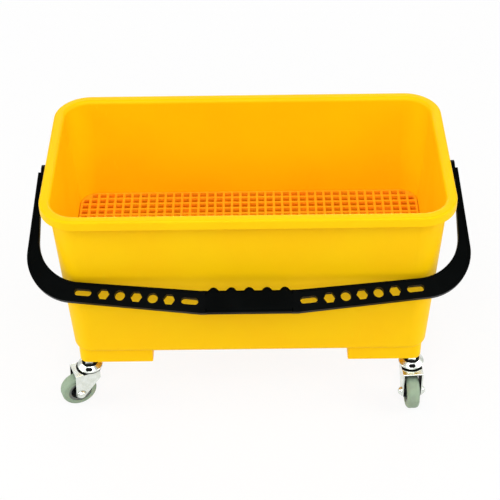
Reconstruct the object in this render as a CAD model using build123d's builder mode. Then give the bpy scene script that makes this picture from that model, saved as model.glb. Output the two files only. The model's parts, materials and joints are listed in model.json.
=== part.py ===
from build123d import *
from math import asin, atan2, cos, degrees, hypot, radians, sin, tan
import os

os.makedirs("parts", exist_ok=True)

# Sizes are in millimetres and degrees. X runs along the bucket, the front faces -Y, the floor is Z = 0.

# Bucket shell
rim_length = 510.0
rim_width = 267.0
rim_corner = 46.0
rim_overhang = 10.4
rim_outer_round = 2.9
rim_inner_round = 5.0
skirt_height = 13.0
shell_depth = 242.0
wall = 3.0
draft_angle = 2.8
bottom_round = 8.0
inner_bottom_round = 5.0

# Feet under the four corners, each with a boss for a caster
foot_height = 20.0
foot_length = 98.0
foot_width = 62.0
foot_wall = 3.0
foot_edge_round = 2.0
foot_inset_x = 5.2
foot_inset_y = 3.7
stem_boss_dia = 23.0
stem_boss_cap = 4.0

# Pivots of the bail in the end walls
pivot_drop = 30.0
pivot_boss_dia = 24.0
pivot_boss_proud = 0.3
pin_dia = 12.0
pin_depth = 11.0
pin_seat = 5.0
running_gap = 0.05
bond_gap = 0.02

# Bail
bail_thickness = 12.0
bail_edge_round = 1.6
bail_rest_gap = 0.8
bail_swing_gap = 2.9
eye_dia = 26.0
eye_width = 7.6
eye_gap = 0.6
arm_width = 12.4
arm_top = 2.0
arm_flare = 5.5
arm_step = 8.0
arm_step_start = 15.0
arm_step_end = 50.0
inner_slope = 4.9
outer_slope = 6.0
inner_corner = 56.0
outer_corner = 60.0
bar_width = 28.5
web_border = 3.0
web_recess = 1.2

# Openings in the crossbar
slot_length = 21.6
slot_width = 8.5
hole_size = 13.0
hole_step = 20.9
slot_to_hole = 25.7
slot_margin = 2.3
slot_inset = 56.6

# Hand grip
grip_length = 106.0
grip_width = 28.0
grip_thickness = 17.0
grip_core = 20.0
grip_gap = 0.1
grip_round = 4.0
collar_width = 8.0
ridge_count = 5
ridge_step = 22.2
ridge_radius = 6.4
ridge_height = 4.2
ridge_blend = 3.0

# Sieve
sieve_drop = 148.0
sieve_thickness = 4.0
sieve_lip = 9.0
sieve_lip_wall = 2.0
sieve_gap = 0.8
sieve_pitch = 11.6
sieve_hole = 8.4
sieve_border = 2.2
sieve_corner_margin = 0.25
leg_inset_columns = 4
leg_inset_rows = 3
stand_gap = 0.1

# Casters
caster_trail = 20.0
wheel_dia = 48.0
wheel_width = 17.0
wheel_side_gap = 3.0
wheel_top_gap = 8.2
tyre_thickness = 8.0
tyre_round = 5.0
hub_rim_width = 15.0
hub_rim = 3.5
hub_web = 7.0
hub_boss_dia = 17.0
hub_play = 0.4
sleeve_dia = 8.5
axle_dia = 6.0
rivet_head_dia = 12.0
rivet_head = 5.0
fork_sheet = 2.2
fork_end_dia = 14.0
leg_shoulder = 12.0
fork_round = 1.0
crown_dia = 30.0
crown_front = 25.0
crown_back = 9.0
race_dia = 34.0
race_height = 6.4
race_edge = 2.0
race_wall = 2.4
race_recess = 0.8
race_top_dia = 23.0
race_gap = 2.2
race_slot_length = 8.8
race_slot_width = 5.4
race_slot_depth = 1.6
ball_dia = 4.0
ball_circle = 22.0
ball_count = 12
ball_seat = 1.0
ball_gap = 0.3
kingpin_dia = 8.0
kingpin_head_dia = 12.5
kingpin_head = 1.8
kingpin_gap = 0.3
shoulder_dia = 21.0
shoulder_height = 1.6
collar_flats = 16.0
collar_height = 8.0
thread_dia = 10.0
thread_length = 24.0
thread_chamfer = 0.7
insert_dia = 14.0
insert_length = 27.0

# Angle each caster is swivelled to, from trailing straight to the front
swivels = {"front_left": -67.0, "front_right": 3.0, "rear_left": 155.0, "rear_right": 180.0}

# Heights, stacked up from the floor
axle_z = wheel_dia / 2
crown_under = wheel_dia + wheel_top_gap
crown_top = crown_under + fork_sheet
race_under = crown_top + race_gap
race_top = race_under + race_height
collar_under = race_top + shoulder_height
foot_under = collar_under + collar_height
floor_under = foot_under + foot_height
rim_top = floor_under + shell_depth
pivot_z = rim_top - pivot_drop
sieve_top = rim_top - sieve_drop

# Half sizes of the tub at the rim, and how far its walls lean in at a depth below the rim
tub_x = rim_length / 2 - rim_overhang
tub_y = rim_width / 2 - rim_overhang
tub_corner = rim_corner - rim_overhang


def lean_in(depth):
    return depth * tan(radians(draft_angle))


# Caster places: each stem stands on the axis of its foot's rounded outer corner
foot_corner = stem_boss_dia / 2
foot_x = tub_x - lean_in(shell_depth) - foot_inset_x
foot_y = tub_y - lean_in(shell_depth) - foot_inset_y
caster_x = foot_x - foot_corner
caster_y = foot_y - foot_corner
boss_face = rim_length / 2 + pivot_boss_proud
eye_face = boss_face + eye_gap


def save(piece, name):
    piece.part.label = name
    export_step(piece.part, f"parts/{name}.step")


# Hollow of the tub
with BuildPart() as hollow:
    with BuildSketch(Plane.XY.offset(rim_top)):
        RectangleRounded(2 * (tub_x - wall), 2 * (tub_y - wall), tub_corner - wall)
    extrude(amount=wall - shell_depth, taper=draft_angle)
    fillet(hollow.faces().sort_by(Axis.Z)[0].edges(), inner_bottom_round)

# Bucket shell: tapered tub with a flanged rim, four feet and two pivot bosses
with BuildPart() as bucket_shell:
    with BuildSketch(Plane.XY.offset(rim_top)):
        RectangleRounded(2 * tub_x, 2 * tub_y, tub_corner)
    extrude(amount=-shell_depth, taper=draft_angle)
    fillet(bucket_shell.faces().sort_by(Axis.Z)[0].edges(), bottom_round)
    # Feet
    with BuildSketch(Plane.XY.offset(foot_under)) as feet:
        with GridLocations(2 * foot_x - foot_length, 2 * foot_y - foot_width, 2, 2):
            Rectangle(foot_length, foot_width)
        fillet(feet.vertices().sort_by(SortBy.DISTANCE)[-4:], foot_corner)
        fillet(feet.vertices().sort_by(SortBy.DISTANCE)[:12], foot_edge_round)
    extrude(amount=foot_height + wall)
    # Pivot bosses, standing on the outside of the end walls
    with BuildSketch(Plane.YZ.offset(tub_x - lean_in(pivot_drop) - wall / 2)):
        with Locations((0, pivot_z)):
            Circle(pivot_boss_dia / 2)
    pivot_boss = extrude(amount=boss_face - tub_x + lean_in(pivot_drop) + wall / 2)
    mirror(pivot_boss, about=Plane.YZ)
    # Flange and its turned-down skirt
    with BuildSketch(Plane.XY.offset(rim_top)):
        RectangleRounded(rim_length, rim_width, rim_corner)
        RectangleRounded(2 * tub_x - wall, 2 * tub_y - wall, tub_corner - wall / 2, mode=Mode.SUBTRACT)
    extrude(amount=-wall)
    with BuildSketch(Plane.XY.offset(rim_top)):
        RectangleRounded(rim_length, rim_width, rim_corner)
        RectangleRounded(rim_length - 2 * wall, rim_width - 2 * wall, rim_corner - wall, mode=Mode.SUBTRACT)
    extrude(amount=-skirt_height)
    fillet(bucket_shell.faces().sort_by(Axis.Z)[-1].edges(), rim_outer_round)
    # Hollow and the round at its mouth
    add(hollow.part, mode=Mode.SUBTRACT)
    fillet(bucket_shell.faces().sort_by(Axis.Z)[-1].inner_wires()[0].edges(), rim_inner_round)
    # Stem bosses that stand up inside, pockets in the feet and the bores for the inserts
    with BuildSketch(Plane.XY.offset(floor_under)):
        with GridLocations(2 * caster_x, 2 * caster_y, 2, 2):
            Circle(stem_boss_dia / 2)
    extrude(amount=insert_length + stem_boss_cap - foot_height)
    with BuildSketch(Plane.XY.offset(foot_under)):
        with GridLocations(2 * foot_x - foot_length, 2 * foot_y - foot_width, 2, 2):
            RectangleRounded(
                foot_length - 2 * foot_wall,
                foot_width - 2 * foot_wall,
                foot_corner - foot_wall,
            )
        with GridLocations(2 * caster_x, 2 * caster_y, 2, 2):
            Circle(stem_boss_dia / 2 - foot_wall / 2, mode=Mode.SUBTRACT)
    extrude(amount=foot_height, mode=Mode.SUBTRACT)
    with BuildSketch(Plane.XY.offset(foot_under)):
        with GridLocations(2 * caster_x, 2 * caster_y, 2, 2):
            Circle(insert_dia / 2)
    extrude(amount=insert_length, mode=Mode.SUBTRACT)
    # Blind sockets for the pivot pins
    with BuildSketch(Plane.YZ.offset(boss_face)):
        with Locations((0, pivot_z)):
            Circle(pin_dia / 2 + running_gap)
    socket = extrude(amount=-pin_depth, mode=Mode.SUBTRACT)
    mirror(socket, about=Plane.YZ, mode=Mode.SUBTRACT)
save(bucket_shell, "bucket_shell")

# Bail: the inner edge of the bar clears the rim as it swings, and leans on the front wall at rest
bar_start = grip_length / 2 + collar_width
arm_inner = eye_face + arm_step
corner_reach = hypot(rim_width / 2, pivot_drop) + bail_swing_gap
grip_reach = corner_reach + (arm_inner - bar_start) * tan(radians(inner_slope))
lean_x = tub_x - tub_corner
lean_reach = grip_reach - (lean_x - bar_start) * tan(radians(inner_slope))
lean_sine = lean_reach + tan(radians(draft_angle)) * bail_thickness / 2
lean_cosine = tan(radians(draft_angle)) * lean_reach - bail_thickness / 2
lean_away = tub_y - lean_in(pivot_drop) + bail_rest_gap
bail_lean = degrees(asin(lean_away / hypot(lean_sine, lean_cosine)) - atan2(lean_cosine, lean_sine))
bail_down = Vector(0, -sin(radians(bail_lean)), -cos(radians(bail_lean)))
bail_plane = Plane(origin=(0, 0, pivot_z), x_dir=(1, 0, 0), z_dir=Vector(1, 0, 0).cross(bail_down))
outer_reach = grip_reach + bar_width
arm_outer = eye_face + arm_width
outer_fall = tan(radians(outer_slope))
arm_spread = tan(radians(arm_flare))
arm_outer_low = arm_outer + arm_spread * (outer_reach + outer_fall * bar_start)
outer_corner_x = arm_outer_low / (1 + arm_spread * outer_fall)
outer_corner_y = outer_reach - outer_fall * (outer_corner_x - bar_start)
core_middle = (grip_reach + outer_reach) / 2

with BuildSketch() as bail_outline:
    with BuildLine():
        half = Polyline(
            (0, core_middle - grip_core / 2),
            (grip_length / 2, core_middle - grip_core / 2),
            (grip_length / 2, grip_reach),
            (bar_start, grip_reach),
            (arm_inner, corner_reach),
            (arm_inner, arm_step_end),
            (eye_face, arm_step_start),
            (eye_face, -arm_top),
            (arm_outer - arm_spread * arm_top, -arm_top),
            (outer_corner_x, outer_corner_y),
            (bar_start, outer_reach),
            (grip_length / 2, outer_reach),
            (grip_length / 2, core_middle + grip_core / 2),
            (0, core_middle + grip_core / 2),
        )
        mirror(half, about=Plane.YZ)
    make_face()
    for side in (-1, 1):
        inside = (side * arm_inner, corner_reach)
        outside = (side * outer_corner_x, outer_corner_y)
        fillet(bail_outline.vertices().sort_by_distance(inside)[0], inner_corner)
        fillet(bail_outline.vertices().sort_by_distance(outside)[0], outer_corner)

# Openings along each half of the crossbar: a slot, a row of six-sided and round holes, a slot
first_slot = bar_start + slot_margin + slot_length / 2
last_slot = arm_inner - slot_inset
hole_span = last_slot - first_slot - 2 * slot_to_hole
hole_gaps = round(hole_span / hole_step)
bar_tilt = (inner_slope + outer_slope) / 2
middle_fall = (tan(radians(inner_slope)) + outer_fall) / 2


def bar_spot(x, side):
    return Location((side * x, core_middle - middle_fall * (x - bar_start), 0), (0, 0, -side * bar_tilt))


with BuildSketch() as bar_openings:
    for side in (-1, 1):
        with Locations(bar_spot(first_slot, side), bar_spot(last_slot, side)):
            SlotOverall(slot_length, slot_width)
        for index in range(hole_gaps + 1):
            with Locations(bar_spot(first_slot + slot_to_hole + index * hole_span / hole_gaps, side)):
                if index % 2 == 0:
                    RegularPolygon(hole_size / 2, 6, major_radius=False)
                else:
                    Circle(hole_size / 2)

with BuildPart() as bail:
    with BuildSketch(bail_plane):
        add(bail_outline.sketch)
    extrude(amount=bail_thickness / 2, both=True)
    across_bail = Axis((0, 0, pivot_z), bail_plane.z_dir)
    fillet(bail.faces().sort_by(across_bail)[0].edges(), bail_edge_round)
    fillet(bail.faces().sort_by(across_bail)[-1].edges(), bail_edge_round)
    for side in (-1, 1):
        with BuildSketch(bail_plane.offset(side * bail_thickness / 2)):
            add(bail_outline.sketch)
            offset(amount=-web_border, mode=Mode.REPLACE)
            with Locations((0, core_middle)):
                Rectangle(2 * bar_start, 2 * bar_width, mode=Mode.SUBTRACT)
        extrude(amount=-side * web_recess, mode=Mode.SUBTRACT)
    with BuildSketch(bail_plane):
        add(bar_openings.sketch)
    extrude(amount=bail_thickness, both=True, mode=Mode.SUBTRACT)
    # Eyes, bored from inside for the pins
    with BuildSketch(Plane.YZ.offset(eye_face)):
        with Locations((0, pivot_z)):
            Circle(eye_dia / 2)
    eye = extrude(amount=eye_width)
    mirror(eye, about=Plane.YZ)
    with BuildSketch(Plane.YZ.offset(eye_face)):
        with Locations((0, pivot_z)):
            Circle(pin_dia / 2 + bond_gap)
    eye_bore = extrude(amount=pin_seat, mode=Mode.SUBTRACT)
    mirror(eye_bore, about=Plane.YZ, mode=Mode.SUBTRACT)
save(bail, "bail")

# Pivot pins, fast in the eyes and free in the sockets of the bucket
with BuildPart() as right_pivot_pin:
    with BuildSketch(Plane.YZ.offset(eye_face + pin_seat)):
        with Locations((0, pivot_z)):
            Circle(pin_dia / 2)
    extrude(amount=-(pin_seat + eye_gap + pin_depth - eye_gap / 2))
    chamfer(right_pivot_pin.faces().sort_by(Axis.X)[0].edges(), pin_dia / 12)
save(right_pivot_pin, "right_pivot_pin")
with BuildPart() as left_pivot_pin:
    mirror(right_pivot_pin.part, about=Plane.YZ)
save(left_pivot_pin, "left_pivot_pin")

# Hand grip moulded round the core of the crossbar, with finger ridges on its inner edge
grip_inner = core_middle - grip_width / 2
with BuildSketch() as grip_outline:
    with Locations((0, core_middle)):
        Rectangle(grip_length, grip_width)
    with Locations((0, grip_inner - ridge_height + ridge_radius)):
        with GridLocations(ridge_step, 1, ridge_count, 1):
            Circle(ridge_radius)
    roots = grip_outline.vertices().filter_by_position(Axis.Y, grip_inner - 0.01, grip_inner + 0.01)
    fillet(roots.sort_by(Axis.X)[1:-1], ridge_blend)
with BuildPart() as hand_grip:
    with BuildSketch(bail_plane):
        add(grip_outline.sketch)
    extrude(amount=grip_thickness / 2, both=True)
    for face in (hand_grip.faces().sort_by(across_bail)[0], hand_grip.faces().sort_by(across_bail)[-1]):
        fillet(face.edges().sort_by(Axis.X)[1:-1], grip_round)
    with BuildSketch(bail_plane):
        with Locations((0, core_middle)):
            Rectangle(grip_length, grip_core + 2 * grip_gap)
    extrude(amount=bail_thickness / 2 + grip_gap, both=True, mode=Mode.SUBTRACT)
save(hand_grip, "hand_grip")

# Sieve grid with a stiffening lip round its edge, which closes the parts of holes that reach it
sieve_x = tub_x - wall - lean_in(sieve_drop + sieve_lip) - sieve_gap
sieve_y = tub_y - wall - lean_in(sieve_drop + sieve_lip) - sieve_gap
sieve_corner = tub_corner - wall - lean_in(sieve_drop + sieve_lip) - sieve_gap
columns = int((2 * (sieve_x - sieve_border) - sieve_hole) / sieve_pitch) + 1
rows = int((2 * (sieve_y - sieve_border) - sieve_hole) / sieve_pitch) + 1
bar_crossing = sieve_pitch - sieve_hole


def clear_of_corner(spot):
    past_x = abs(spot.position.X) + sieve_hole / 2 - sieve_x + sieve_corner
    past_y = abs(spot.position.Y) + sieve_hole / 2 - sieve_y + sieve_corner
    return min(past_x, past_y) < 0 or hypot(past_x, past_y) < sieve_corner - sieve_corner_margin


hole_grid = GridLocations(sieve_pitch, sieve_pitch, columns, rows)
hole_spots = [spot for spot in hole_grid if clear_of_corner(spot)]
sieve_edge = RectangleRounded(2 * sieve_x, 2 * sieve_y, sieve_corner).wire()
hole_edge = Rectangle(sieve_hole, sieve_hole).wire()
with BuildPart() as sieve_grid:
    with BuildSketch(Plane.XY.offset(sieve_top - sieve_thickness)):
        add(Face(sieve_edge, [hole_edge.moved(spot) for spot in hole_spots]))
    extrude(amount=sieve_thickness)
    with BuildSketch(Plane.XY.offset(sieve_top - sieve_lip)):
        RectangleRounded(2 * sieve_x, 2 * sieve_y, sieve_corner)
        offset(amount=-sieve_lip_wall, mode=Mode.SUBTRACT)
    extrude(amount=sieve_lip)
save(sieve_grid, "sieve_grid")

# Sieve legs, cross-shaped posts under the crossings of the grid's bars
leg_foot = floor_under + wall + stand_gap
leg_columns = (leg_inset_columns, columns // 3, columns - columns // 3, columns - leg_inset_columns)
leg_rows = (leg_inset_rows, rows - leg_inset_rows)
leg_xs = [(column - columns / 2) * sieve_pitch for column in leg_columns]
leg_ys = [(row - rows / 2) * sieve_pitch for row in leg_rows]
leg_spots = [(x, y) for x in leg_xs for y in leg_ys]
with BuildPart() as sieve_legs:
    with BuildSketch(Plane.XY.offset(leg_foot)):
        with Locations(*leg_spots):
            Rectangle(2 * sieve_pitch, bar_crossing)
            Rectangle(bar_crossing, 2 * sieve_pitch)
    extrude(amount=sieve_top - sieve_thickness - leg_foot)
save(sieve_legs, "sieve_legs")

# Caster pieces, drawn round a swivel axis at X = Y = 0 with the wheel trailing to the front
axle_line = Axis((0, -caster_trail, axle_z), (1, 0, 0))
axle_plane = Plane(origin=(0, -caster_trail, axle_z), x_dir=(1, 0, 0), z_dir=(0, -1, 0))
fork_half_gap = wheel_width / 2 + wheel_side_gap
fork_half_width = fork_half_gap + fork_sheet
hub_radius = wheel_dia / 2 - tyre_thickness
ball_z = crown_top + ball_dia / 2 - ball_seat

with BuildPart() as tyre:
    with BuildSketch(axle_plane) as tread:
        with Locations((0, hub_radius)):
            Rectangle(wheel_width, tyre_thickness, align=(Align.CENTER, Align.MIN))
        fillet(tread.vertices().group_by(Axis.Y)[-1], tyre_round)
    revolve(axis=axle_line)

with BuildPart() as hub:
    with BuildSketch(axle_plane):
        with Locations((0, hub_radius - bond_gap)):
            Rectangle(hub_rim_width, hub_rim, align=(Align.CENTER, Align.MAX))
        with Locations((0, sleeve_dia / 2 + running_gap)):
            Rectangle(hub_web, hub_radius - hub_rim - sleeve_dia / 2, align=(Align.CENTER, Align.MIN))
            Rectangle(
                2 * (fork_half_gap - hub_play),
                (hub_boss_dia - sleeve_dia) / 2 - running_gap,
                align=(Align.CENTER, Align.MIN),
            )
    revolve(axis=axle_line)

with BuildPart() as axle_sleeve:
    with BuildSketch(axle_plane):
        with Locations((0, axle_dia / 2 + bond_gap)):
            Rectangle(
                2 * fork_half_gap,
                (sleeve_dia - axle_dia) / 2 - bond_gap,
                align=(Align.CENTER, Align.MIN),
            )
    revolve(axis=axle_line)

with BuildPart() as axle_rivet:
    with BuildSketch(axle_plane):
        with BuildLine():
            dome_angle = atan2(rivet_head, rivet_head_dia / 2)
            dome_radius = rivet_head / (1 - cos(2 * dome_angle))
            tip = fork_half_width + rivet_head
            dome_x = tip - dome_radius * (1 - cos(dome_angle))
            dome_y = dome_radius * sin(dome_angle)
            ThreePointArc((-tip, 0), (-dome_x, dome_y), (-fork_half_width, rivet_head_dia / 2))
            Polyline(
                (-fork_half_width, rivet_head_dia / 2),
                (-fork_half_width, axle_dia / 2),
                (fork_half_width, axle_dia / 2),
                (fork_half_width, rivet_head_dia / 2),
            )
            ThreePointArc((fork_half_width, rivet_head_dia / 2), (dome_x, dome_y), (tip, 0))
            Line((tip, 0), (-tip, 0))
        make_face()
    revolve(axis=axle_line)

with BuildPart() as fork:
    with BuildSketch(Plane.XY.offset(crown_under)):
        Circle(crown_dia / 2)
        with Locations((0, (crown_back - crown_front) / 2)):
            Rectangle(2 * fork_half_width, crown_front + crown_back)
    extrude(amount=fork_sheet)
    fillet(fork.faces().sort_by(Axis.Z)[-1].edges(), fork_round)
    with BuildSketch(Plane.YZ.offset(fork_half_gap)) as leg_side:
        with Locations((-caster_trail, axle_z)):
            Circle(fork_end_dia / 2)
        with Locations(((crown_back - crown_front) / 2, crown_under + fork_sheet / 2)):
            Rectangle(crown_front + crown_back, leg_shoulder, align=(Align.CENTER, Align.MAX))
        make_hull(leg_side.edges())
        with Locations((-caster_trail, axle_z)):
            Circle(axle_dia / 2 + bond_gap, mode=Mode.SUBTRACT)
    leg = extrude(amount=fork_sheet)
    mirror(leg, about=Plane.YZ)
    with BuildSketch(Plane.XY.offset(crown_under)):
        Circle(kingpin_dia / 2 + running_gap)
    extrude(amount=fork_sheet, mode=Mode.SUBTRACT)
    with Locations((0, 0, ball_z)):
        Torus(ball_circle / 2, ball_dia / 2 + bond_gap, mode=Mode.SUBTRACT)

with BuildPart() as swivel_balls:
    with Locations((0, 0, ball_z)):
        with PolarLocations(ball_circle / 2, ball_count):
            Sphere(ball_dia / 2)

# The race's sloping shoulder has a slot at the front
slope_run = (race_dia - race_top_dia) / 2
slope_rise = race_height - race_edge
slope_middle = (0, -(race_dia + race_top_dia) / 4, race_top - slope_rise / 2)
slope_plane = Plane(origin=slope_middle, x_dir=(1, 0, 0), z_dir=(0, -slope_rise, slope_run))
with BuildPart() as upper_race:
    with BuildSketch(Plane.XZ):
        with BuildLine():
            Polyline(
                (kingpin_dia / 2 + bond_gap, race_under + race_recess),
                (race_dia / 2 - race_wall, race_under + race_recess),
                (race_dia / 2 - race_wall, race_under),
                (race_dia / 2, race_under),
                (race_dia / 2, race_under + race_edge),
                (race_top_dia / 2, race_top),
                (kingpin_dia / 2 + bond_gap, race_top),
                close=True,
            )
        make_face()
    revolve(axis=Axis.Z)
    race_circles = upper_race.edges().filter_by(GeomType.CIRCLE).group_by(SortBy.RADIUS)
    fillet(race_circles[-1].sort_by(Axis.Z)[-1], race_wall / 2)
    with Locations((0, 0, ball_z)):
        Torus(ball_circle / 2, ball_dia / 2 + ball_gap, mode=Mode.SUBTRACT)
    with BuildSketch(slope_plane):
        SlotOverall(race_slot_length, race_slot_width)
    extrude(amount=-race_slot_depth, mode=Mode.SUBTRACT)

with BuildPart() as caster_stem:
    with BuildSketch(Plane.XY.offset(crown_under - kingpin_gap - kingpin_head)):
        Circle(kingpin_head_dia / 2)
    extrude(amount=kingpin_head)
    with BuildSketch(Plane.XY.offset(crown_under - kingpin_gap)):
        Circle(kingpin_dia / 2)
    extrude(amount=race_top - crown_under + kingpin_gap)
    with BuildSketch(Plane.XY.offset(race_top)):
        Circle(shoulder_dia / 2)
    extrude(amount=shoulder_height)
    with BuildSketch(Plane.XY.offset(collar_under)):
        RegularPolygon(collar_flats / 2, 6, major_radius=False)
    extrude(amount=collar_height)
    with BuildSketch(Plane.XY.offset(foot_under)):
        Circle(thread_dia / 2)
    extrude(amount=thread_length)
    chamfer(caster_stem.faces().sort_by(Axis.Z)[-1].edges(), thread_chamfer)

with BuildPart() as threaded_insert:
    with BuildSketch(Plane.XY.offset(foot_under)):
        Circle(insert_dia / 2 - bond_gap)
        Circle(thread_dia / 2 + bond_gap, mode=Mode.SUBTRACT)
    extrude(amount=insert_length)

# One of each caster piece at every corner; the pieces under the swivel turn with it
fixed_pieces = {"threaded_insert": threaded_insert, "caster_stem": caster_stem, "upper_race": upper_race}
turning_pieces = {
    "swivel_balls": swivel_balls,
    "fork": fork,
    "axle_rivet": axle_rivet,
    "axle_sleeve": axle_sleeve,
    "hub": hub,
    "tyre": tyre,
}
for corner, swivel in swivels.items():
    x = -caster_x if corner.endswith("left") else caster_x
    y = -caster_y if corner.startswith("front") else caster_y
    for pieces, turn in ((fixed_pieces, 0.0), (turning_pieces, swivel)):
        for name, piece in pieces.items():
            with BuildPart() as placed:
                with Locations(Location((x, y, 0), (0, 0, turn))):
                    add(piece.part)
            save(placed, f"{corner}_{name}")

print(f"lean of the bail {bail_lean:.3f}, its swing {360 - 2 * bail_lean:.3f} degrees")
print(f"rim top {rim_top:.2f}, pivot {pivot_z:.2f}, sieve top {sieve_top:.2f}, foot {foot_under:.2f}")
print(f"casters at x {caster_x:.3f}, y {caster_y:.3f}, axle {axle_z:.2f}, sieve {columns} x {rows}")
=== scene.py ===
# %% [markdown]
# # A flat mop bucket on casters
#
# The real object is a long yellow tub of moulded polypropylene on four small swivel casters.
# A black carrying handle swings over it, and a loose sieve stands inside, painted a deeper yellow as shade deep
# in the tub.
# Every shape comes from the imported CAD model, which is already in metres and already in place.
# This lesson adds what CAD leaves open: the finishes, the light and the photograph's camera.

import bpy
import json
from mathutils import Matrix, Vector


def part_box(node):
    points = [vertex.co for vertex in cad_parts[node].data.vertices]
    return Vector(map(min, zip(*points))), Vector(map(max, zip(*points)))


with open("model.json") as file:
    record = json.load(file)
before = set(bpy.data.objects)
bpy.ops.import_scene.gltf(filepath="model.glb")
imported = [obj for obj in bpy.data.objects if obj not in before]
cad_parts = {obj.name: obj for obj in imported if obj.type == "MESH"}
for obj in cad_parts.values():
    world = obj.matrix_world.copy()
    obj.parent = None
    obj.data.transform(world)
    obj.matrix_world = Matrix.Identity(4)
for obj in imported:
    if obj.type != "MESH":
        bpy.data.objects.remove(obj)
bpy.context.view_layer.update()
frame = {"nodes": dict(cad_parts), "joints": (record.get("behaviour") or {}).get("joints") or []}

# %% [markdown]
# ## Camera
#
# The photograph was taken from in front, looking down at about 41 degrees, with a long lens.
# The camera could be placed by eye, but a fit to the rim's corners gives it within a fifth of a pixel.
# The fit also shows that the picture leans by a little under a degree, so the camera is rolled by that much.

# %% Place the camera
from math import cos, hypot, radians, sin, tau

import bpy
from mathutils import Matrix, Vector

scene = bpy.context.scene
camera_place = Vector((0.00766, -1.36564, 1.35268))
camera_target = Vector((0.00115, 0.0, 0.17771))
camera_roll = radians(-0.873)
ahead = (camera_target - camera_place).normalized()
level_right = ahead.cross(Vector((0, 0, 1))).normalized()
level_up = level_right.cross(ahead)
right = cos(camera_roll) * level_right + sin(camera_roll) * level_up
up = cos(camera_roll) * level_up - sin(camera_roll) * level_right
lens = bpy.data.cameras.new("long_lens")
lens.sensor_width = 36.0
lens.lens = 96.457
camera = bpy.data.objects.new("photo_camera", lens)
camera.matrix_world = Matrix.Translation(camera_place) @ Matrix((right, up, -ahead)).transposed().to_4x4()
scene.collection.objects.link(camera)
scene.camera = camera
print("camera", tuple(round(v, 3) for v in camera_place), "lens", lens.lens)

# %% [markdown]
# ## Shader maths
#
# Finishes are built from nodes, and sums of nodes are hard to read as a web of links.
# One small class wraps a socket, so that a sum such as 0.3 + 0.1 * cloud adds its Math nodes by itself.
# A second class holds a node tree and has a single method that adds any other node.
# A third is a finish: a node tree with a Principled shader at its end.

# %% Wrap sockets and node trees
class Wire:
    """An output socket. Sums on it add Math nodes."""

    def __init__(self, graph, socket):
        self.graph = graph
        self.socket = socket

    def math(self, operation, *values):
        return self.graph.node("ShaderNodeMath", {"operation": operation}, dict(enumerate(values)))

    def __add__(self, other):
        return self.math("ADD", self, other)

    def __radd__(self, other):
        return self.math("ADD", other, self)

    def __sub__(self, other):
        return self.math("SUBTRACT", self, other)

    def __rsub__(self, other):
        return self.math("SUBTRACT", other, self)

    def __mul__(self, other):
        return self.math("MULTIPLY", self, other)

    def __rmul__(self, other):
        return self.math("MULTIPLY", other, self)

    def __pow__(self, other):
        return self.math("POWER", self, other)

    def __rpow__(self, other):
        return self.math("POWER", other, self)

    def __abs__(self):
        return self.math("ABSOLUTE", self)

    def larger(self, other):
        return self.math("MAXIMUM", self, other)

    def sine(self):
        return self.math("SINE", self)


class Graph:
    """A node tree, with one method that adds any node."""

    def __init__(self, tree):
        self.tree = tree

    def node(self, kind, settings=None, inputs=None, output=0):
        new = self.tree.nodes.new(kind)
        for name, value in (settings or {}).items():
            setattr(new, name, value)
        for socket, value in (inputs or {}).items():
            if isinstance(value, Wire):
                self.tree.links.new(value.socket, new.inputs[socket])
            else:
                new.inputs[socket].default_value = value
        return Wire(self, new.outputs[output])


print("wrappers", Wire.__name__, Graph.__name__)

# %% Wrap a material
class Finish(Graph):
    """A material of the bucket, with a Principled shader that its nodes feed."""

    def __init__(self, name, constants):
        self.material = bpy.data.materials.new(name)
        self.material.use_nodes = True
        super().__init__(self.material.node_tree)
        self.shader = self.tree.nodes["Principled BSDF"]
        for socket, value in constants.items():
            self.shader.inputs[socket].default_value = value
        self.place = self.node("ShaderNodeTexCoord", output="Object")

    def feed(self, socket, wire):
        self.tree.links.new(wire.socket, self.shader.inputs[socket])


print("wrapper", Finish.__name__)

# %% [markdown]
# ## Patterns that every finish shares
#
# Real mouldings and plated steel vary in three ways: slow clouds of tone, a fine grain, and scuffs.
# A painted picture could carry them, but it needs a flat layout of every surface and blurs up close.
# Noise textures give all three in space, sized in millimetres of the real surface, so they fit any shape.
# A scuff is noise stretched along one direction, of which only the highest peaks are kept.

# %% Clouds, grain and scuffs
mm_per_m = 1000.0


def noise(finish, size_mm, detail=2.0, stretch=(1.0, 1.0, 1.0)):
    """Noise whose blotches are about size_mm across, longer along an axis by its stretch."""
    scale = tuple(mm_per_m / (size_mm * along) for along in stretch)
    place = finish.node("ShaderNodeVectorMath", {"operation": "MULTIPLY"}, {0: finish.place, 1: scale})
    return finish.node("ShaderNodeTexNoise", {}, {"Vector": place, "Scale": 1.0, "Detail": detail})


def ramp(finish, value, low, high):
    """0 at low and 1 at high, smooth between them and level beyond them. Low may be the larger one."""
    settings = {"interpolation_type": "SMOOTHSTEP"}
    return finish.node("ShaderNodeMapRange", settings, {"Value": value, "From Min": low, "From Max": high})


def blend(finish, share, first, second):
    """A colour between first and second."""
    settings = {"data_type": "RGBA"}
    return finish.node("ShaderNodeMix", settings, {0: share, 6: first, 7: second}, output=2)


def bump(finish, height, depth_mm, strength=1.0):
    """A normal from a height of 0 to 1 that stands for depth_mm on the surface."""
    inputs = {"Height": height, "Distance": depth_mm / mm_per_m, "Strength": strength}
    return finish.node("ShaderNodeBump", {}, inputs)


print("patterns", noise.__name__, ramp.__name__, blend.__name__, bump.__name__)
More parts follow.
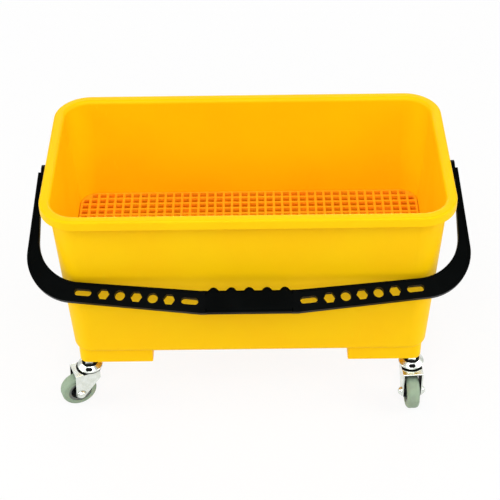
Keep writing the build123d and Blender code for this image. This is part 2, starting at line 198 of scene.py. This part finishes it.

# %% [markdown]
# ## Yellow polypropylene
#
# The tub and the sieve are injection moulded. The plastic has a satin skin with a faint orange peel,
# and buckets that are nested for transport leave fine upright scratches on the walls.
# One flat yellow would look like paint, so the tone drifts slowly, and the scratches are paler and rougher.
# The skin shows hardly any gloss under even light, so its mirror level is low.
# The deeper orange on the tub's inner walls is not painted: it comes from light that bounces between them.

# %% Make the yellow finishes
def yellow_plastic(name, tone, deeper, paler):
    """Satin moulded plastic. Its tone drifts towards deeper, and its scratches are paler."""
    finish = Finish(name, {"IOR": 1.49, "Specular IOR Level": 0.05})
    cloud = ramp(finish, noise(finish, size_mm=90.0, detail=3.0), low=0.3, high=0.7)
    peel = noise(finish, size_mm=2.4, detail=1.0)
    grain = noise(finish, size_mm=0.5, detail=1.0)
    streaks = noise(finish, size_mm=1.1, stretch=(1.0, 1.0, 40.0))
    patches = ramp(finish, noise(finish, size_mm=45.0), low=0.45, high=0.7)
    scratch = ramp(finish, streaks, low=0.62, high=0.72) * patches
    colour = blend(finish, cloud, tone, deeper)
    finish.feed("Base Color", blend(finish, 0.5 * scratch, colour, paler))
    finish.feed("Roughness", 0.34 + 0.06 * cloud + 0.14 * scratch + 0.05 * grain)
    finish.feed("Normal", bump(finish, 0.8 * peel + 0.2 * grain, depth_mm=0.05, strength=0.35))
    return finish.material


tub_yellow = yellow_plastic(
    "tub_yellow",
    tone=(0.97, 0.585, 0.002, 1),
    deeper=(0.97, 0.555, 0.002, 1),
    paler=(0.97, 0.64, 0.01, 1),
)
# The sieve's tone is painted deeper than the tub's, as shade deep inside the tub.
sieve_yellow = yellow_plastic(
    "sieve_yellow",
    tone=(0.97, 0.465, 0.012, 1),
    deeper=(0.97, 0.425, 0.012, 1),
    paler=(0.97, 0.52, 0.03, 1),
)
print("finishes", tub_yellow.name, sieve_yellow.name)

# %% [markdown]
# ## Black nylon
#
# The handle and its grip are black nylon. The arms came out of a polished mould, and the grip has a finer,
# duller texture so that it doesn't slip. A plain black would do from far away, but it turns grey as soon as it
# mirrors a bright room, so the mirror level is set low and the roughness drifts where hands have rubbed it.

# %% Make the black finishes
def black_nylon(name, roughness, grain_mm, depth_mm):
    """Black moulded nylon with a grain of the given size and depth, smoother where it is rubbed."""
    finish = Finish(name, {"IOR": 1.5, "Specular IOR Level": 0.015})
    rubbed = ramp(finish, noise(finish, size_mm=30.0, detail=3.0), low=0.35, high=0.7)
    grain = noise(finish, size_mm=grain_mm)
    streaks = ramp(finish, noise(finish, size_mm=0.8, stretch=(30.0, 1.0, 1.0)), low=0.62, high=0.74)
    colour = blend(finish, rubbed, (0.0006, 0.0010, 0.0010, 1), (0.0011, 0.0016, 0.0016, 1))
    finish.feed("Base Color", blend(finish, 0.3 * streaks, colour, (0.0035, 0.0042, 0.0042, 1)))
    finish.feed("Roughness", roughness - 0.08 * rubbed + 0.15 * streaks)
    finish.feed("Normal", bump(finish, grain, depth_mm, strength=0.5))
    return finish.material


arm_black = black_nylon("arm_black", roughness=0.36, grain_mm=0.9, depth_mm=0.03)
grip_black = black_nylon("grip_black", roughness=0.50, grain_mm=0.5, depth_mm=0.06)
print("finishes", arm_black.name, grip_black.name)

# %% [markdown]
# ## Metal
#
# The casters' metal pieces are polished balls, plain turned sleeves, brass inserts in the feet,
# and the zinc plated pieces of a later step. Each could have a shader of its own, but they differ only in tone,
# in gloss and in how wide the lines are that the press or the lathe left, so one function makes them all.
# Metal is never quite even: slow clouds and small dull spots keep it from looking like a mirror.
# Painted shade is no metal, so the function turns the metal off wherever shade is painted black on it.

# %% Make the metal finishes
dull_spot = (0.42, 0.40, 0.37, 1)
# Black for shade painted into the casters' gaps and hollows.
painted_shade_black = (0.004, 0.005, 0.005, 1)


def metal(name, light, shade, roughness, line_mm, painted_shade=None):
    """Plated or turned metal. A shade mask function gives 1 where the metal is painted black as shade."""
    finish = Finish(name, {"Metallic": 1.0, "Specular IOR Level": 0.05})
    cloud = ramp(finish, noise(finish, size_mm=7.0, detail=3.0), low=0.35, high=0.65)
    lines = noise(finish, size_mm=line_mm, stretch=(1.0, 1.0, 25.0))
    spots = ramp(finish, noise(finish, size_mm=2.2), low=0.66, high=0.78)
    colour = blend(finish, cloud, light, shade)
    colour = blend(finish, 0.35 * spots, colour, dull_spot)
    rough = roughness + 0.07 * cloud + 0.08 * lines + 0.15 * spots
    if painted_shade:
        # The mask paints shade here: black, not metallic and rougher.
        black = painted_shade(finish)
        colour = blend(finish, black, colour, painted_shade_black)
        rough = rough + 0.3 * black
        finish.feed("Metallic", 1.0 - black)
    finish.feed("Base Color", colour)
    finish.feed("Roughness", rough)
    finish.feed("Normal", bump(finish, lines, depth_mm=0.01, strength=0.25))
    return finish.material


polished_ball = metal(
    "polished_ball", light=(0.70, 0.70, 0.71, 1), shade=(0.66, 0.66, 0.66, 1), roughness=0.08, line_mm=0.20
)
turned_steel = metal(
    "turned_steel", light=(0.52, 0.52, 0.53, 1), shade=(0.46, 0.46, 0.46, 1), roughness=0.26, line_mm=0.15
)
turned_brass = metal(
    "turned_brass", light=(0.78, 0.57, 0.22, 1), shade=(0.70, 0.49, 0.18, 1), roughness=0.24, line_mm=0.15
)
print("finishes", polished_ball.name, turned_steel.name, turned_brass.name)

# %% [markdown]
# ## Where a point of a caster lies
#
# Painted shade and tyre rings need to know where the axle and the swivel are, and every caster points another
# way.
# The marks could be painted on each caster by hand, but the joints of the imported model give both axes.
# So two functions turn a point of the surface into plain distances: one along and from the axle,
# one from the swivel and above the floor.

# %% Measure from the joints
def from_joint(finish, joint):
    """The way from a joint to the point that is shaded, in metres."""
    settings = {"operation": "SUBTRACT"}
    return finish.node("ShaderNodeVectorMath", settings, {0: finish.place, 1: tuple(joint["pos_m"])})


def wheel_distances(finish, spin):
    """Distance along the axle from the wheel's middle, and from the axle, in millimetres."""
    arm = from_joint(finish, spin)
    product, length = {"operation": "DOT_PRODUCT"}, {"operation": "LENGTH"}
    along = mm_per_m * finish.node("ShaderNodeVectorMath", product, {0: arm, 1: tuple(spin["axis"])}, "Value")
    slant = mm_per_m * finish.node("ShaderNodeVectorMath", length, {0: arm}, "Value")
    return along, (slant * slant - along * along) ** 0.5


def swivel_distances(finish, swivel):
    """Distances to the right of the swivel, behind it and above the floor, in millimetres."""
    arm = from_joint(finish, swivel)
    across, behind = [finish.node("ShaderNodeSeparateXYZ", {}, {0: arm}, side) for side in "XY"]
    height = finish.node("ShaderNodeSeparateXYZ", {}, {0: finish.place}, "Z")
    return mm_per_m * across, mm_per_m * behind, mm_per_m * height


joints = {joint["name"]: joint for joint in frame["joints"]}
corners = ("front_left", "front_right", "rear_left", "rear_right")

# %% [markdown]
# ## Sizes of a caster
#
# The distances have to be compared with the sizes of the real pieces: how wide the race is,
# how far apart the fork's cheeks stand, how large the wheel is. Writing them down would repeat the CAD model,
# so they are read off the boxes of one caster's pieces. The one at the rear right has its axle along X.

# %% Measure a caster
def half_size(piece, axis):
    """Half of the size of a piece along an axis, in millimetres."""
    low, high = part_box("rear_right_" + piece)
    return mm_per_m * (high[axis] - low[axis]) / 2


def top(piece):
    """Height of the top of a piece above the floor, in millimetres."""
    return mm_per_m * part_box("rear_right_" + piece)[1].z


along_axle, upright = 0, 2
race_radius = half_size("upper_race", along_axle)
fork_inside = half_size("axle_sleeve", along_axle)
rivet_radius = half_size("axle_rivet", upright)
wheel_radius = half_size("tyre", upright)
wheel_half_width = half_size("tyre", along_axle)
race_top = top("upper_race")
crown_top = top("fork")
print("race radius %.2f top %.2f, fork inside %.2f top %.2f" % (race_radius, race_top, fork_inside, crown_top))
print("rivet radius %.2f, wheel radius %.2f half width %.2f" % (rivet_radius, wheel_radius, wheel_half_width))

# %% [markdown]
# ## Painted shade on the casters
#
# Gaps and hollows of the casters are painted black as shade: a line under the race, the slot in the race,
# the foot of the collar, a ring round the rivet and the inside of the fork.
# Thin black pieces laid over the metal would flicker against it, so each place is a mask instead:
# 1 on the painted shade, 0 on clean metal, worked out from the distances.

# %% Say where shade is painted on the race and the stem
slope_run, slope_rise = 5.5, 4.4
slot_half_straight, slot_end_radius = 1.7, 2.6
shoulder_height = 1.6


def soft_edge(finish, distance, edge, width=0.3):
    """1 up to an edge, fading to 0 over a width in millimetres beyond it."""
    return ramp(finish, distance, low=edge + width, high=edge)


def race_painted_shade(finish, swivel):
    """Painted shade in the slot on the sloping front of the race."""
    across, behind, height = swivel_distances(finish, swivel)
    from_middle = behind + (race_radius - slope_run / 2)
    above_middle = height - (race_top - slope_rise / 2)
    slope_length = hypot(slope_run, slope_rise)
    up_slope = slope_run / slope_length * from_middle + slope_rise / slope_length * above_middle
    past_end = (abs(across) - slot_half_straight).larger(0.0)
    return soft_edge(finish, (past_end * past_end + up_slope * up_slope) ** 0.5, slot_end_radius)


def stem_painted_shade(finish, swivel):
    """Painted shade on the shoulder between the race and the collar."""
    height = swivel_distances(finish, swivel)[2]
    half_shoulder = shoulder_height / 2
    return soft_edge(finish, abs(height - (race_top + half_shoulder)), half_shoulder)


print("slot", 2 * (slot_half_straight + slot_end_radius), "by", 2 * slot_end_radius, "mm")

# %% Say where shade is painted on the fork
race_shade_reach, rivet_shade_reach = 1.9, 0.4
crown_depth = 0.8


def fork_painted_shade(finish, swivel, spin):
    """Painted shade on the crown round the race, round the rivet and on the inside of the fork."""
    across, behind, height = swivel_distances(finish, swivel)
    along, reach = wheel_distances(finish, spin)
    from_stem = (across * across + behind * behind) ** 0.5
    # Each mask paints shade: under the race's edge, round the rivet's head and between the cheeks.
    round_race = soft_edge(finish, from_stem, race_radius + race_shade_reach, width=1.0)
    round_rivet = 0.7 * soft_edge(finish, reach, rivet_radius + rivet_shade_reach, width=0.4)
    inside = soft_edge(finish, abs(along), fork_inside + 0.05, width=0.2)
    crown = soft_edge(finish, crown_top - height, crown_depth, width=1.0)
    return crown * round_race + (1.0 - crown) * inside.larger(round_rivet)


# Printed: how far the painted shade reaches past the race and past the rivet, in millimetres.
print("grease spills", race_shade_reach, "mm past the race and", rivet_shade_reach, "mm past the rivet")

# %% [markdown]
# ## Bright zinc
#
# The fork, the race, the stem and the rivet are pressed or turned from steel and then bright zinc plated,
# a clear silver with slow clouds in it and fine lines from the press. All but the rivet have shade painted on
# them.
# It sits in another place at every corner, so each of these pieces gets a zinc of its own.

# %% Make the zinc finishes
from functools import partial


def bright_zinc(name, painted_shade=None):
    """Zinc plate, painted black as shade where the shade mask function says."""
    silver, cloudy = (0.79, 0.83, 0.78, 1), (0.71, 0.75, 0.68, 1)
    return metal(name, silver, cloudy, roughness=0.16, line_mm=0.35, painted_shade=painted_shade)


rivet_zinc = bright_zinc("rivet_zinc")
zinc_finishes = {}
for corner in corners:
    swivel = joints[corner + "_swivel_turn"]
    spin = joints[corner + "_wheel_spin"]
    on_race = partial(race_painted_shade, swivel=swivel)
    on_stem = partial(stem_painted_shade, swivel=swivel)
    on_fork = partial(fork_painted_shade, swivel=swivel, spin=spin)
    zinc_finishes[corner + "_upper_race"] = bright_zinc(corner + "_race_zinc", on_race)
    zinc_finishes[corner + "_caster_stem"] = bright_zinc(corner + "_stem_zinc", on_stem)
    zinc_finishes[corner + "_fork"] = bright_zinc(corner + "_fork_zinc", on_fork)
print("zinc finishes", len(zinc_finishes))

# %% [markdown]
# ## Tyres
#
# Each wheel has a tyre of grey-green rubber. It was moulded in two halves, which leaves a fine parting line
# round the middle of the tread, and the mould was turned on a lathe, which leaves shallow rings on the sides.
# Rings like these are too fine to model, so a sine of the distance from the axle raises them as bumps.
# The tread is dull with grime from the floor.

# %% Make the tyre finishes
def turned_rings(reach, pitch_mm):
    """A height of 0 to 1 that rises and falls once in every pitch_mm away from the axle."""
    return 0.5 + 0.5 * (tau / pitch_mm * reach).sine()


def tyre_rubber(name, spin):
    """Matt rubber with a parting line, rings on its sides and grime on its tread."""
    finish = Finish(name, {"IOR": 1.5, "Specular IOR Level": 0.3})
    along, reach = wheel_distances(finish, spin)
    parting = soft_edge(finish, abs(along), 0.1, width=0.35)
    side = ramp(finish, abs(along), low=wheel_half_width - 2.5, high=wheel_half_width - 0.3)
    tread = ramp(finish, reach, low=wheel_radius - 2.5, high=wheel_radius - 0.2)
    grime = ramp(finish, noise(finish, size_mm=9.0, detail=3.0), low=0.45, high=0.75) * tread
    grain = noise(finish, size_mm=0.7)
    # The sides are painted a quarter of the way towards a darker green, as shade on them.
    colour = blend(finish, 0.25 * side, (0.29, 0.385, 0.27, 1), (0.225, 0.285, 0.22, 1))
    height = 0.2 * grain + 0.5 * parting + 0.4 * turned_rings(reach, pitch_mm=1.396) * side
    finish.feed("Base Color", blend(finish, 0.30 * grime, colour, (0.22, 0.23, 0.20, 1)))
    finish.feed("Roughness", 0.52 + 0.12 * grime + 0.06 * grain)
    finish.feed("Normal", bump(finish, height, depth_mm=0.15, strength=0.5))
    return finish.material


tyre_finishes = {}
for corner in corners:
    tyre_finishes[corner + "_tyre"] = tyre_rubber(corner + "_tyre_rubber", joints[corner + "_wheel_spin"])
print("tyre finishes", len(tyre_finishes))

# %% [markdown]
# ## Hubs
#
# The tyre sits on a hub of grey nylon, with finer rings. The hub's middle is hollow, and it is painted black
# as the shade in it and beside the fork; dust gathers on the rest. One grey would hide the hollow,
# so the distance from the axle decides where the painted shade ends.

# %% Make the hub finishes
hub_hollow_radius = 12.2


def hub_nylon(name, spin):
    """Grey nylon with dust on it, painted black as shade round the axle."""
    finish = Finish(name, {"IOR": 1.5, "Specular IOR Level": 0.1})
    along, reach = wheel_distances(finish, spin)
    near_middle = soft_edge(finish, abs(along), 4.0, width=4.0)
    dust = ramp(finish, noise(finish, size_mm=5.0, detail=3.0), low=0.4, high=0.7) * near_middle
    # Painted shade: black in the hollow round the axle, out to hub_hollow_radius.
    shaded_hollow = soft_edge(finish, reach, hub_hollow_radius, width=0.8)
    colour = blend(finish, 0.4 * dust, (0.17, 0.185, 0.17, 1), (0.24, 0.25, 0.225, 1))
    finish.feed("Base Color", blend(finish, shaded_hollow, colour, painted_shade_black))
    finish.feed("Roughness", 0.42 + 0.15 * dust)
    finish.feed("Normal", bump(finish, turned_rings(reach, pitch_mm=1.047), depth_mm=0.06, strength=0.35))
    return finish.material


hub_finishes = {}
for corner in corners:
    hub_finishes[corner + "_hub"] = hub_nylon(corner + "_hub_nylon", joints[corner + "_wheel_spin"])
print("hub finishes", len(hub_finishes), "hollow radius", hub_hollow_radius)

# %% [markdown]
# ## Dress the model
#
# The CAD shapes stay as they are, so dressing them is only a matter of giving each node its finish.
# Single pieces are listed by name. The caster pieces come four times over, once at each corner.

# %% Give every node its finish
finishes = {
    "bucket_shell": tub_yellow,
    "sieve_grid": sieve_yellow,
    "sieve_legs": sieve_yellow,
    "bail": arm_black,
    "left_pivot_pin": arm_black,
    "right_pivot_pin": arm_black,
    "hand_grip": grip_black,
}
caster_finishes = {
    "threaded_insert": turned_brass,
    "axle_rivet": rivet_zinc,
    "swivel_balls": polished_ball,
    "axle_sleeve": turned_steel,
}
for corner in corners:
    for piece, finish in caster_finishes.items():
        finishes[corner + "_" + piece] = finish
finishes.update(zinc_finishes)
finishes.update(tyre_finishes)
finishes.update(hub_finishes)
for name, node in frame["nodes"].items():
    node.data.materials.clear()
    node.data.materials.append(finishes[name])
print("dressed", len(finishes), "of", len(frame["nodes"]))

# %% [markdown]
# ## Floor
#
# The photograph is a studio picture on white paper. More light could bleach the floor, but it would bleach
# the bucket too. So the paper keeps its own pale grey, which takes the shadow and sends a plain share
# of light back, and a glow of strength 1, which is white, is mixed in for the camera and for mirrors only.

# %% Lay the floor
def ray_kinds(graph):
    """1 or 0 for what the camera sees directly, and for what is seen in mirrors or through glass."""
    kinds = ("Is Camera Ray", "Is Glossy Ray", "Is Transmission Ray")
    camera_ray, mirror_ray, glass_ray = [graph.node("ShaderNodeLightPath", output=kind) for kind in kinds]
    return camera_ray, mirror_ray + glass_ray


floor_half = 6.0
glow_share = 0.88
floor_mesh = bpy.data.meshes.new("floor")
floor_corners = [(-floor_half, -floor_half, 0), (floor_half, -floor_half, 0)]
floor_corners += [(floor_half, floor_half, 0), (-floor_half, floor_half, 0)]
floor_mesh.from_pydata(floor_corners, [], [(0, 1, 2, 3)])
floor = bpy.data.objects.new("floor", floor_mesh)
scene.collection.objects.link(floor)
floor_paper = Finish("floor_paper", {"Base Color": (0.80, 0.80, 0.80, 1), "Roughness": 0.8})
glow = floor_paper.node("ShaderNodeEmission", {}, {"Color": (1, 1, 1, 1), "Strength": 1.0})
paper = Wire(floor_paper, floor_paper.shader.outputs[0])
seen, mirrored = ray_kinds(floor_paper)
mixed = floor_paper.node("ShaderNodeMixShader", {}, {0: glow_share * (seen + mirrored), 1: paper, 2: glow})
floor_paper.tree.links.new(mixed.socket, floor_paper.tree.nodes["Material Output"].inputs["Surface"])
floor_mesh.materials.append(floor_paper.material)
print("floor", 2 * floor_half, "m wide")

# %% [markdown]
# ## Lamps
#
# The light in the photograph is even and comes from all sides, so five large soft lamps stand round the tub.
# The two at the sides shine over its ends into it, the one in front lights the walls, the high one
# reaches the sieve, and the one behind keeps the back from going dark. Their powers could be guessed,
# but rendering each lamp alone shows what it adds, and so which mix comes nearest to the photograph's tones.

# %% Hang the lamps
bucket_middle = Vector((0.0, 0.0, 0.20))


def softbox(name, place, width, height, watts):
    """A large soft lamp, turned towards the middle of the bucket."""
    data = bpy.data.lights.new(name, "AREA")
    data.shape = "RECTANGLE"
    data.size = width
    data.size_y = height
    data.energy = watts
    lamp = bpy.data.objects.new(name, data)
    lamp.location = place
    lamp.rotation_euler = (bucket_middle - Vector(place)).to_track_quat("-Z", "Y").to_euler()
    scene.collection.objects.link(lamp)
    return lamp


lamps = [
    softbox("left_lamp", (-2.3, -0.3, 1.5), width=1.4, height=1.4, watts=33.0),
    softbox("right_lamp", (2.3, -0.3, 1.5), width=1.4, height=1.4, watts=33.0),
    softbox("front_lamp", (0.0, -2.2, 1.5), width=2.0, height=1.0, watts=14.5),
    softbox("high_lamp", (0.0, -1.5, 2.4), width=1.8, height=1.2, watts=29.0),
    softbox("back_lamp", (0.0, 2.3, 1.0), width=2.0, height=1.0, watts=22.0),
]
print("lamps", [lamp.name for lamp in lamps])

# %% [markdown]
# ## Room
#
# A studio's walls send back a little light from everywhere, which softens what the lamps leave dark.
# One grey for all would do that, but it would show as a dark band above the floor. So the camera sees the room
# about as pale as the far end of the floor, and mirrors see it grow paler upwards, which shades the zinc.
# Light may bounce twelve times between surfaces instead of the usual few, because each bounce inside
# the yellow tub takes away some green, and that is what makes the deep orange down in the sieve's holes.

# %% Set the room's light
room_strength = 0.25
extra_for_camera = 0.67
mirror_low = 0.3
mirror_rise = 0.45
room = bpy.data.worlds.new("pale_room")
scene.world = room
room.use_nodes = True
walls = Graph(room.node_tree)
room_light = room.node_tree.nodes["Background"]
room_light.inputs["Color"].default_value = (1, 1, 1, 1)
direction = walls.node("ShaderNodeTexCoord", output="Generated")
upwards = walls.node("ShaderNodeSeparateXYZ", {}, {0: direction}, "Z")
extra_for_mirrors = mirror_low + mirror_rise * ramp(walls, upwards, low=0.0, high=0.5)
seen, mirrored = ray_kinds(walls)
strength = room_strength + extra_for_camera * seen + extra_for_mirrors * mirrored
room.node_tree.links.new(strength.socket, room_light.inputs["Strength"])
scene.cycles.diffuse_bounces = 12
scene.view_settings.view_transform = "Standard"
print("room strength", room_strength, "bounces", scene.cycles.diffuse_bounces)

# %% [markdown]
# ## Size and finish
#
# The looks mustn't change the object's size.

# %% Import json
import json
